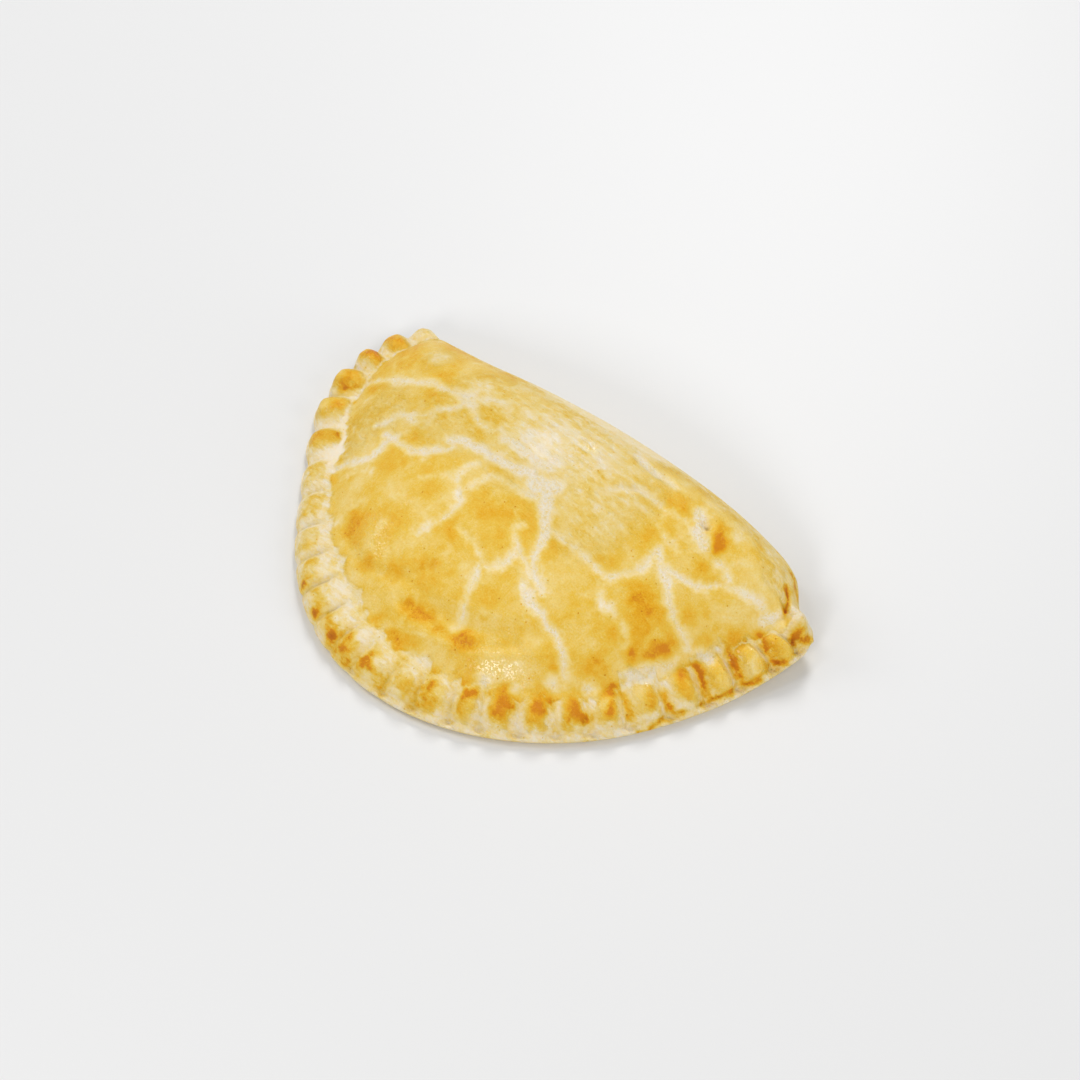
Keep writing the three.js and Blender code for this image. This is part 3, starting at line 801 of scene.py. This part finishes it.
def crimp_paint(stations, inset):
    """Egg wash and browning of the rim and the dome, both fading to the fold's own at its foot."""
    number = np.clip(np.floor(stations.crimps).astype(int) + 1, 0, len(CRIMPS) - 1)
    crimp = Crimp(*(values[number] for values in np.array(CRIMPS).T))
    along, rim = stations.along, stations.rim
    across = inset / stations.width + ripples(along + inset, inset - along, EDGE_WANDER)
    off_fold = mix(smooth((inset - FOLD_BARE) / FOLD_FADE), 1, rim)
    wash = mix(FOLD_WASH, 1, off_fold) * mix(1, rim_wash(stations, crimp, across), rim)
    bake_and_shade = mix(FOLD_BAKE, 0, off_fold) + rim * rim_bake_and_shade(stations, crimp, across, inset)
    return wash, bake_and_shade


def view_axes(stage):
    """Unit vectors from the aim back to the camera, to the right of the picture and up it."""
    turn, tilt = stage.azimuth, stage.elevation
    back = Vector((math.sin(turn) * math.cos(tilt), -math.cos(turn) * math.cos(tilt), math.sin(tilt)))
    right = Vector((math.cos(turn), math.sin(turn), 0))
    return back, right, back.cross(right)


def set_field(mesh, name, values):
    """Stores one number for each vertex, for the material to read."""
    mesh.attributes.new(name, "FLOAT", "POINT").data.foreach_set("value", values.astype(np.float32))


# Colour sockets of a Mix node, whose names repeat: three inputs and the output
MIX_SHARE, MIX_LOW, MIX_HIGH, MIX_RESULT = 0, 6, 7, 2


class Wire:
    """An output socket in a node tree. Arithmetic with it adds Math nodes."""

    def __init__(self, tree, socket=None):
        self.tree = tree
        self.socket = socket

    def make(self, kind, settings=(), sockets=(), output=0):
        """Adds a node: its settings first, then its sockets' values or links. Gives one of its outputs."""
        node = self.tree.nodes.new("ShaderNode" + kind)
        for name, value in dict(settings).items():
            setattr(node, name, value)
        for name, value in dict(sockets).items():
            if isinstance(value, Wire):
                self.tree.links.new(value.socket, node.inputs[name])
            else:
                node.inputs[name].default_value = value
        return Wire(self.tree, node.outputs[output])

    def math(self, operation, other):
        return self.make("Math", {"operation": operation}, {0: self, 1: other})

    def __add__(self, other):
        return self.math("ADD", other)

    def __sub__(self, other):
        return self.math("SUBTRACT", other)

    def __rsub__(self, other):
        return self * -1 + other

    def __mul__(self, other):
        return self.math("MULTIPLY", other)

    __radd__ = __add__

    def field(self, name):
        return self.make("Attribute", {"attribute_name": name}, output="Fac")

    def ramp(self, low, high):
        """Eases from 0 at a low value to 1 at a high one."""
        sockets = {"Value": self, "From Min": low, "From Max": high}
        return self.make("MapRange", {"interpolation_type": "SMOOTHSTEP"}, sockets)

    def noise(self, size, detail=3.0, roughness=0.5):
        """Random values round 0, of about a size, at the places that this wire holds."""
        sockets = {"Vector": self, "Scale": 1 / size, "Detail": detail, "Roughness": roughness}
        return self.make("TexNoise", {}, sockets) - 0.5

    def stretch(self, *factors):
        """Places with each part multiplied by a factor of its own."""
        return self.make("VectorMath", {"operation": "MULTIPLY"}, {0: self, 1: factors})

    def cell_edges(self, size, wander):
        """Distance to the sides of random cells of a size, whose places wander, as a share of the size."""
        spread = {"Vector": self, "Scale": 1 / size, "Detail": 3.0}
        moved = self.make("TexNoise", {}, spread, output="Color")
        moved = self.make("VectorMath", {"operation": "SUBTRACT"}, {0: moved, 1: (0.5, 0.5, 0.5)})
        moved = self.make("VectorMath", {"operation": "SCALE"}, {0: moved, "Scale": 2 * wander})
        place = self.make("VectorMath", {"operation": "ADD"}, {0: self, 1: moved})
        sockets = {"Vector": place, "Scale": 1 / size}
        return self.make("TexVoronoi", {"feature": "DISTANCE_TO_EDGE"}, sockets)

    def cell_middles(self, size):
        """Distance to the middles of random cells of a size, as a share of the size."""
        return self.make("TexVoronoi", {}, {"Vector": self, "Scale": 1 / size})

    def blend(self, low, high):
        """A colour between two, by this wire's value."""
        sockets = {MIX_SHARE: self, MIX_LOW: low, MIX_HIGH: high}
        return self.make("Mix", {"data_type": "RGBA"}, sockets, output=MIX_RESULT)

    def shade(self, *colours):
        """A colour from evenly spaced ones, by this wire's value from 0 to 1."""
        wire = self.make("ValToRGB", {}, {"Fac": self})
        ramp = wire.socket.node.color_ramp
        for number in range(1, len(colours) - 1):
            ramp.elements.new(number / (len(colours) - 1))
        for element, colour in zip(ramp.elements, colours):
            element.color = (*colour, 1)
        return wire


# Random patterns of the crust: the size, detail and roughness of each
PATTERNS = {
    "patches": (12 * MM, 4, 0.5),
    "blotches": (6 * MM, 3, 0.5),
    "drift": (5 * MM, 3, 0.5),
    "wet": (3.5 * MM, 3, 0.5),
    "mottle": (2.6 * MM, 4, 0.6),
    "ragged": (1.3 * MM, 5, 0.65),
    "sparkle": (0.6 * MM, 2, 0.5),
    "grain": (0.5 * MM, 3, 0.6),
}

# Flakes run along the fold, wisps along the sides of cells with gaps in them, and specks lie in cells
FLAKE_STRETCH = (1, 3, 3)
FLAKES = (6 * MM, 5, 0.65)
WISP_CELLS = (13 * MM, 6 * MM)
WISP_LINE = (0.11, 0)
WISP_SPREAD = (14 * MM, 2)
WISP_GAPS = (0, 0.15)
SPECK_CELLS = 3.4 * MM
SPECK_EDGE = (0.09, 0.05)

# Where a value begins and comes to its full
TORN = (0.76, 1.06)
HALO = (0, 0.9)
THIN_FROM = (0.2, 0.45)
THIN_TO = (1, 0.8)
COVERED = (0.15, 0.85)
BURNT_AND_SHADE = (1.8, 3.6)
GLOSSY = (0.2, 0.7)
GLINT = (0.02, 0.12)

# How much each pattern counts in a mix, and the plain values that the mixes change
TEAR_MIX = {"ragged": 2.2, "grain": 0.8, "drift": 1.3}
COVER_MIX = {"mottle": 0.35, "ragged": 0.2, "flakes": 1.1}
WASH_TONE = 0.55
WASH_MIX = {"patches": 0.95, "mottle": 0.4, "grain": 0.4, "halo": -0.3, "wisps": -0.16}
TORN_LOSS = 0.8
DOUGH_MIX = {"grain": 0.14, "specks": 0.35}
CRUMB_TONE = 0.03
CRUMB_MIX = {"ragged": 0.8, "grain": 0.5}
BAKE_AND_SHADE_TONE = 0.36
BAKE_AND_SHADE_MIX = {"mottle": 1, "ragged": 0.7, "blotches": 1}
BURN_AND_SHADE_MIX = {"mottle": 0.6, "ragged": 0.5}
GLOSS_MIX = {"wet": 1.2}
ROUGHNESS = 0.52
ROUGHNESS_MIX = {"cover": -0.14, "gloss": -0.1}
RELIEF_MIX = {"grain": 0.5, "mottle": 0.8, "ragged": 0.6, "flakes": 4, "torn": -0.3, "specks": -0.5}
CRUMB_RELIEF = 1.2
BUMP = {"Strength": 0.8, "Distance": 0.45 * MM}

# What is the same all over the crust
CRUST_FINISH = {
    "Coat Roughness": 0.22,
    "Specular IOR Level": 0.2,
    "Subsurface Weight": 0.08,
    "Subsurface Radius": (1, 0.5, 0.15),
    "Subsurface Scale": 2 * MM,
}


def mixed(pattern, weights):
    """Sum of patterns by name, each times its weight."""
    parts = [pattern[name] * weight for name, weight in weights.items()]
    return sum(parts[1:], parts[0])


def crust_patterns(place):
    """The random patterns by name, with the tears, flakes, cover and gloss that they make ragged."""
    pattern = {name: place.noise(*values) for name, values in PATTERNS.items()}
    tear = place.field("tear") + mixed(pattern, TEAR_MIX)
    wash = place.field("wash")
    thin = wash.ramp(*THIN_FROM) * wash.ramp(*THIN_TO)
    pattern["torn"] = tear.ramp(*TORN)
    pattern["halo"] = tear.ramp(*HALO)
    wisps = place.cell_edges(*WISP_CELLS).ramp(*WISP_LINE)
    pattern["wisps"] = wisps * place.noise(*WISP_SPREAD).ramp(*WISP_GAPS)
    pattern["specks"] = place.cell_middles(SPECK_CELLS).ramp(*SPECK_EDGE)
    pattern["flakes"] = place.stretch(*FLAKE_STRETCH).noise(*FLAKES) * thin
    pattern["cover"] = (wash + mixed(pattern, COVER_MIX)).ramp(*COVERED)
    pattern["gloss"] = (place.field("gloss") + mixed(pattern, GLOSS_MIX)).ramp(*GLOSSY)
    return pattern


def crust_colour(place, pattern, finish):
    """Bare dough under egg wash, thin or thick, torn at the cracks and browned where it baked most, with
    painted light and shade.
    """
    bake_and_shade = place.field("bake_and_shade")
    wash = pattern["cover"] * (WASH_TONE + mixed(pattern, WASH_MIX)) * (1 - pattern["torn"] * TORN_LOSS)
    crumbs = pattern["torn"] * (CRUMB_TONE + mixed(pattern, CRUMB_MIX))
    # Brown where the crust baked, and painted shade in the creases and grooves
    baked = bake_and_shade * (1 + mixed(pattern, BAKE_AND_SHADE_MIX)) * BAKE_AND_SHADE_TONE
    tone = wash + crumbs + baked + mixed(pattern, DOUGH_MIX)
    shades = (finish.dough, finish.cream, finish.pale_gold, finish.gold, finish.amber, finish.brown)
    burnt_and_shade = (bake_and_shade + mixed(pattern, BURN_AND_SHADE_MIX)).ramp(*BURNT_AND_SHADE)
    return burnt_and_shade.blend(tone.shade(*shades), (*finish.scorch_and_shade, 1))


def crust_relief(place, pattern):
    """Fine relief of the crust, rougher where it is torn."""
    crumbs = pattern["torn"] * pattern["ragged"] * CRUMB_RELIEF
    return place.make("Bump", {}, {**BUMP, "Height": mixed(pattern, RELIEF_MIX) + crumbs})


def crust_material(finish):
    """The baked crust: egg wash over dough, with glints where the wash dried wet."""
    material = bpy.data.materials.new("baked_crust")
    material.use_nodes = True
    tree = material.node_tree
    shader = tree.nodes["Principled BSDF"]
    place = Wire(tree).make("TexCoord", output="Object")
    pattern = crust_patterns(place)
    varying = {
        "Base Color": crust_colour(place, pattern, finish),
        "Roughness": ROUGHNESS + mixed(pattern, ROUGHNESS_MIX),
        "Coat Weight": pattern["gloss"] * pattern["sparkle"].ramp(*GLINT),
        "Normal": crust_relief(place, pattern),
    }
    for name, wire in varying.items():
        tree.links.new(wire.socket, shader.inputs[name])
    for name, value in CRUST_FINISH.items():
        shader.inputs[name].default_value = value
    return material


# Fields of the underside, which bakes evenly on its tray
UNDER_PAINT = {"tear": 0, "wash": 0.45, "bake_and_shade": 0.45, "gloss": 0}


def crust_points(form, stations, inset):
    """Points of the top, in one row with its middle last, points of the underside, and the base's middle.

    They are moved so that the box round them is centred over the origin and stands on the floor.
    """
    top = top_points(form, stations, inset)
    under = under_points(form, stations, top[:, 0])
    top_middle = top_points(form, stations, stations.reach)[0]
    low = np.minimum(top.min((0, 1)), under.min((0, 1)))
    high = np.maximum(top.max((0, 1)), under.max((0, 1)))
    shift = np.array([*(low + high)[:2] / 2, low[2]])
    top = np.vstack([top.reshape(-1, 3), top_middle])
    return top - shift, under - shift, np.array([*MIDDLE, 0]) - shift


def crust_lumps(top, tear, stage):
    """Height of the furrows and swellings over the plain top, less what the cracks sink."""
    lumps = streak_field(CREASES, top, stage) + spot_field(SWELLINGS, top, stage)
    return lumps * MM - CRACK_SINK * smooth(tear)


def crust_fields(top, tear, wash, bake_and_shade, stage):
    """What the material reads at each point of the top: how torn, washed, baked and glossy it is, with
    painted light and shade.

    The middle, which comes last, has full wash and no browning of its own.
    """
    # Paler where the wash is thin; on the crest's top this pale is partly painted highlight
    wash = np.append(wash, 1) - spot_field(PALE_AND_HIGHLIGHT_SPOTS, top, stage)
    # Darker where the wash baked, and painted shade along the creases
    bake_and_shade = np.append(bake_and_shade, 0) + spot_field(BROWN_SPOTS, top, stage)
    return {
        # Bare spots, whose white on the crest's top is partly painted highlight
        "tear": np.maximum(tear, BARE_TEAR * spot_field(BARE_AND_HIGHLIGHT_SPOTS, top, stage)),
        "wash": np.clip(wash, 0, 1),
        "bake_and_shade": bake_and_shade + streak_field(BROWN_STREAKS, top, stage),
        "gloss": np.clip(spot_field(GLOSS_SPOTS, top, stage), 0, 1),
    }


def profiles(top, under, shape):
    """Each station's values from the top's middle out to the edge, and on under it to the base."""
    rings = top[:-1].reshape(*shape, *top.shape[1:])
    return np.hstack([rings[:, ::-1], under])


class PASTY_OT_crust(bpy.types.Operator):
    """Build the baked crust over the solid"""

    bl_idname = "pasty.crust"
    bl_label = "Baked Crust"

    def execute(self, context):
        scene = context.scene
        stations = make_stations(scene.pasty_form)
        inset = ring_insets(stations)
        top, under, base_middle = crust_points(scene.pasty_form, stations, inset)
        tear = tear_field(top, scene.pasty_stage)
        fields = crust_fields(top, tear, *crimp_paint(stations, inset), scene.pasty_stage)
        top[:, 2] += crust_lumps(top, tear, scene.pasty_stage)

        # The middles of the top and the base come after the rings
        rings = profiles(top, under, inset.shape)
        points = np.vstack([rings.reshape(-1, 3), top[-1], base_middle])
        mesh = bpy.data.meshes.new("crust")
        mesh.from_pydata(points, [], grid_faces(*rings.shape[:2]), shade_flat=False)
        mesh.validate()
        for name, values in fields.items():
            plain = np.full(under.shape[:2], UNDER_PAINT[name])
            set_field(mesh, name, np.append(profiles(values, plain, inset.shape), [values[-1], 0]))
        mesh.materials.append(crust_material(scene.pasty_finish))
        crust = bpy.data.objects.new("crust", mesh)
        scene.collection.objects.link(crust)
        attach(crust, "root")
        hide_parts("pasty")
        return {"FINISHED"}


def point_along(thing, way):
    """Turns a camera or a lamp to look along a way."""
    thing.rotation_mode = "QUATERNION"
    thing.rotation_quaternion = way.to_track_quat("-Z", "Y")


def add_camera(scene, stage):
    back = view_axes(stage)[0]
    data = bpy.data.cameras.new("camera")
    data.lens = stage.lens
    data.sensor_width = SENSOR / MM
    camera = bpy.data.objects.new("camera", data)
    camera.location = AIM + back * stage.distance
    point_along(camera, -back)
    scene.collection.objects.link(camera)
    scene.camera = camera


def add_floor(context, stage):
    bpy.ops.mesh.primitive_plane_add(size=FLOOR_SIDE)
    floor = context.object
    floor.name = "floor"
    floor.location.z = -FLOOR_GAP
    paint = bpy.data.materials.new("floor")
    paint.use_nodes = True
    paint.node_tree.nodes["Principled BSDF"].inputs["Base Color"].default_value = (*stage.floor, 1)
    floor.data.materials.append(paint)


def add_lamps(scene, stage):
    right = view_axes(stage)[1]
    away = Vector((-right.y, right.x, 0))
    for name, right_by, away_by, up_by, side, power in LAMPS:
        data = bpy.data.lights.new(name, "AREA")
        data.energy = power
        data.size = side
        light = bpy.data.objects.new(name, data)
        light.location = AIM + right * right_by + away * away_by + Vector((0, 0, up_by))
        point_along(light, AIM - light.location)
        scene.collection.objects.link(light)


def light_world(scene):
    """Even white light from all round."""
    scene.world = bpy.data.worlds.new("studio")
    scene.world.use_nodes = True
    background = scene.world.node_tree.nodes["Background"]
    background.inputs["Strength"].default_value = WORLD_LIGHT
    background.inputs["Color"].default_value = WHITE


class PASTY_OT_stage(bpy.types.Operator):
    """Set the camera, the floor and the lights"""

    bl_idname = "pasty.stage"
    bl_label = "Stage"

    def execute(self, context):
        stage = context.scene.pasty_stage
        add_camera(context.scene, stage)
        add_floor(context, stage)
        add_lamps(context.scene, stage)
        light_world(context.scene)
        context.scene.view_settings.view_transform = "Standard"
        return {"FINISHED"}


class PASTY_PT_panel(bpy.types.Panel):
    """Sizes, colours and the two builders"""

    bl_idname = "PASTY_PT_panel"
    bl_label = "Pasty"
    bl_space_type = "VIEW_3D"
    bl_region_type = "UI"
    bl_category = "Pasty"

    def draw(self, context):
        layout = self.layout
        for group in (context.scene.pasty_form, context.scene.pasty_finish, context.scene.pasty_stage):
            column = layout.column()
            for name in group.__annotations__:
                column.prop(group, name)
        layout.operator(PASTY_OT_stage.bl_idname)
        layout.operator(PASTY_OT_crust.bl_idname)


CLASSES = (PastyForm, PastyFinish, PastyStage, PASTY_OT_crust, PASTY_OT_stage, PASTY_PT_panel)


def register():
    for cls in CLASSES:
        bpy.utils.register_class(cls)
    bpy.types.Scene.pasty_form = PointerProperty(type=PastyForm)
    bpy.types.Scene.pasty_finish = PointerProperty(type=PastyFinish)
    bpy.types.Scene.pasty_stage = PointerProperty(type=PastyStage)


def unregister():
    del bpy.types.Scene.pasty_stage
    del bpy.types.Scene.pasty_finish
    del bpy.types.Scene.pasty_form
    for cls in reversed(CLASSES):
        bpy.utils.unregister_class(cls)


def main():
    register()
    bpy.ops.pasty.stage()
    bpy.ops.pasty.crust()


if __name__ == "__main__":
    main()
